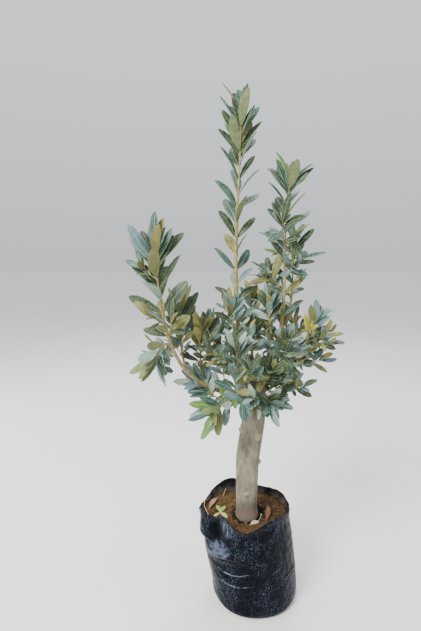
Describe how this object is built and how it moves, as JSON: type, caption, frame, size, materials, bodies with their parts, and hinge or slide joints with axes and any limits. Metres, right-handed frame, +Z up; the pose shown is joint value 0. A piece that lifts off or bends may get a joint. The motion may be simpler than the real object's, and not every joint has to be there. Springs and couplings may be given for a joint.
{
  "type": "potted olive tree",
  "caption": "Young olive tree with a thick cut-back trunk and slender leafy shoots, growing in a black nursery bag full of soil.",
  "frame": {"origin": "centre of the bag's flat underside, on the ground", "axes": "+Z up along the trunk, front of the plant towards -Y, +X to the right seen from the front"},
  "size_m": [0.3286, 0.2332, 0.842],
  "materials": {
    "bag_film": "thin black film, half gloss, dusty and scuffed",
    "soil": "orange-brown crumbly earth",
    "trunk_bark": "smooth pale grey-beige bark with faint streaks",
    "shoot_bark": "thin tan bark",
    "foliage": "leathery grey-green leaves with pale undersides",
    "dry_leaf": "dry papery leaf",
    "green_sprig": "fresh light-green leaflets"
  },
  "bodies": {
    "root": {"nursery_bag": "bag_film", "potting_soil": "soil", "trunk": "trunk_bark", "bough_leader": "shoot_bark", "foliage_leader": "foliage", "bough_right": "shoot_bark", "foliage_right": "foliage", "bough_left": "shoot_bark", "foliage_left": "foliage", "bough_left_back": "shoot_bark", "foliage_left_back": "foliage", "bough_left_low": "shoot_bark", "foliage_left_low": "foliage", "bough_left_inner": "shoot_bark", "foliage_left_inner": "foliage", "bough_left_under": "shoot_bark", "foliage_left_under": "foliage", "bough_front_left": "shoot_bark", "foliage_front_left": "foliage", "bough_front_mid": "shoot_bark", "foliage_front_mid": "foliage", "bough_front_high": "shoot_bark", "foliage_front_high": "foliage", "bough_front_centre": "shoot_bark", "foliage_front_centre": "foliage", "bough_front_right": "shoot_bark", "foliage_front_right": "foliage", "bough_front_low": "shoot_bark", "foliage_front_low": "foliage", "bough_right_low": "shoot_bark", "foliage_right_low": "foliage", "bough_right_inner": "shoot_bark", "foliage_right_inner": "foliage", "bough_right_under": "shoot_bark", "foliage_right_under": "foliage", "bough_right_side": "shoot_bark", "foliage_right_side": "foliage", "bough_right_back": "shoot_bark", "foliage_right_back": "foliage", "bough_leader_side": "shoot_bark", "foliage_leader_side": "foliage", "bough_back_left": "shoot_bark", "foliage_back_left": "foliage", "bough_back_left_low": "shoot_bark", "foliage_back_left_low": "foliage", "bough_back_right": "shoot_bark", "foliage_back_right": "foliage", "bough_back_right_low": "shoot_bark", "foliage_back_right_low": "foliage", "bough_back_centre": "shoot_bark", "foliage_back_centre": "foliage", "bough_back_low": "shoot_bark", "foliage_back_low": "foliage", "bough_inner": "shoot_bark", "foliage_inner": "foliage", "fallen_leaf_rim": "dry_leaf", "fallen_leaf_foot": "dry_leaf", "fallen_leaf_right": "dry_leaf", "fallen_sprig": "green_sprig"}
  },
  "joints": []
}
